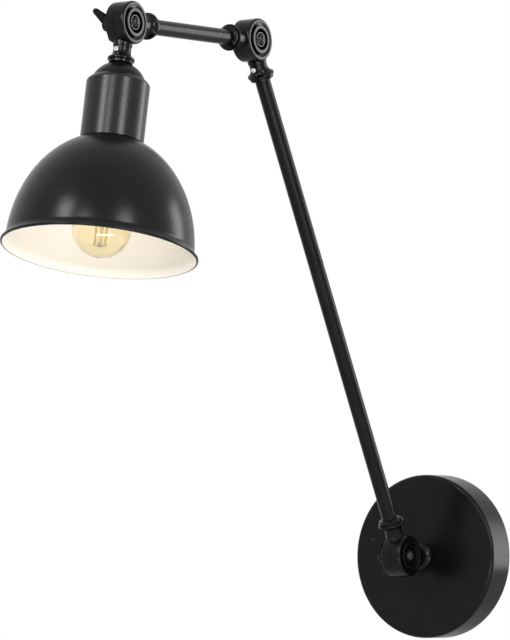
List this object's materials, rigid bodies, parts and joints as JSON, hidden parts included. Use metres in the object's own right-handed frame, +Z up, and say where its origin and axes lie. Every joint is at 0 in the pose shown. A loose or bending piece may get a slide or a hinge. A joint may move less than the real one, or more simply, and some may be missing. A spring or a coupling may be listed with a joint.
{
  "type": "articulating wall lamp",
  "caption": "Black wall lamp: round canopy, two hinged tubular arms with wing-nut knuckles, and a tilting half-dome shade around a round bulb.",
  "frame": {"origin": "centre between the two wall screws, on the wall plane", "axes": "+Y into the wall, so the lamp reaches out towards -Y; X along the wall, which is also the direction of every pivot; +Z up"},
  "size_m": [0.1498, 0.5282, 0.4825],
  "materials": {
    "amber_glass": "clear amber",
    "black_casting": "satin black on cast metal",
    "black_cup": "satin black powder coat",
    "black_glass": "black glass",
    "black_phenolic": "moulded black",
    "black_powder_coat": "satin matt black powder coat",
    "blackened_steel": "glossy black",
    "brass": "plain",
    "bulb_cap_metal": "nickel plated",
    "chrome_screw": "bright",
    "fibre_washer": "matt fibre",
    "filament_yellow": "phosphor coated",
    "shade_enamel": "matt black outside, white enamel inside",
    "stem_glass": "clear",
    "white_ceramic": null,
    "white_nylon": "moulded white",
    "zinc_steel": "zinc plated"
  },
  "bodies": {
    "lamp_head": {"bulb_cap": "bulb_cap_metal", "bulb_contact": "brass", "bulb_filaments": "filament_yellow", "bulb_glass": "amber_glass", "bulb_insulator": "black_glass", "bulb_stem": "stem_glass", "head_cup": "black_cup", "head_dome_cap": "black_powder_coat", "head_grub_screw": "chrome_screw", "head_knuckle_half": "black_casting", "head_nipple": "brass", "holder_cap": "black_phenolic", "holder_centre_contact": "brass", "holder_contact_block": "white_ceramic", "holder_screw_shell": "brass", "holder_skirt": "black_phenolic", "lamp_shade": "shade_enamel", "shade_ring": "black_phenolic"},
    "wall_mount": {"canopy_lock_nut": "zinc_steel", "canopy_nipple": "brass", "canopy_side_screws": "zinc_steel", "canopy_washer": "zinc_steel", "earth_screw": "brass", "earth_washer": "brass", "mounting_bracket": "zinc_steel", "terminal_block": "white_nylon", "terminal_clamp_screws": "zinc_steel", "terminal_fixing_screw": "zinc_steel", "wall_canopy": "black_powder_coat", "wall_friction_washer": "fibre_washer", "wall_grub_screw": "chrome_screw", "wall_knuckle_half": "black_casting", "wall_pivot_bolt": "blackened_steel", "wall_spring_washer": "zinc_steel"},
    "short_arm": {"elbow_friction_washer": "fibre_washer", "elbow_pivot_bolt": "blackened_steel", "elbow_spring_washer": "zinc_steel", "head_friction_washer": "fibre_washer", "head_pivot_bolt": "blackened_steel", "head_spring_washer": "zinc_steel", "short_arm_lower_grub_screw": "chrome_screw", "short_arm_lower_half": "black_casting", "short_arm_lower_nipple": "brass", "short_arm_tube": "black_powder_coat", "short_arm_upper_grub_screw": "chrome_screw", "short_arm_upper_half": "black_casting", "short_arm_upper_nipple": "brass"},
    "elbow_wing": {"elbow_wing_nut": "black_casting"},
    "head_wing": {"head_wing_nut": "black_casting"},
    "long_arm": {"long_arm_lower_grub_screw": "chrome_screw", "long_arm_lower_half": "black_casting", "long_arm_lower_nipple": "brass", "long_arm_tube": "black_powder_coat", "long_arm_upper_grub_screw": "chrome_screw", "long_arm_upper_half": "black_casting", "long_arm_upper_nipple": "brass"},
    "wall_wing": {"wall_wing_nut": "black_casting"}
  },
  "joints": [
    {"name": "wall_pivot", "type": "hinge", "parent": "wall_mount", "child": "long_arm", "pos_m": [0, -0.0586, 0], "axis": [1, 0, 0], "range_deg": [-25, 150]},
    {"name": "elbow_pivot", "type": "hinge", "parent": "long_arm", "child": "short_arm", "pos_m": [0, -0.24707, 0.3987], "axis": [1, 0, 0], "range_deg": [-150, 35]},
    {"name": "head_pivot", "type": "hinge", "parent": "short_arm", "child": "lamp_head", "pos_m": [0, -0.41355, 0.40103], "axis": [1, 0, 0], "range_deg": [-140, 30]},
    {"name": "wall_wing_turn", "type": "hinge", "parent": "wall_mount", "child": "wall_wing", "pos_m": [0, -0.0586, 0], "axis": [-1, 0, 0], "range_deg": [0, 450]},
    {"name": "elbow_wing_turn", "type": "hinge", "parent": "short_arm", "child": "elbow_wing", "pos_m": [0, -0.24707, 0.3987], "axis": [-1, 0, 0], "range_deg": [0, 450]},
    {"name": "head_wing_turn", "type": "hinge", "parent": "short_arm", "child": "head_wing", "pos_m": [0, -0.41355, 0.40103], "axis": [-1, 0, 0], "range_deg": [0, 450]}
  ]
}
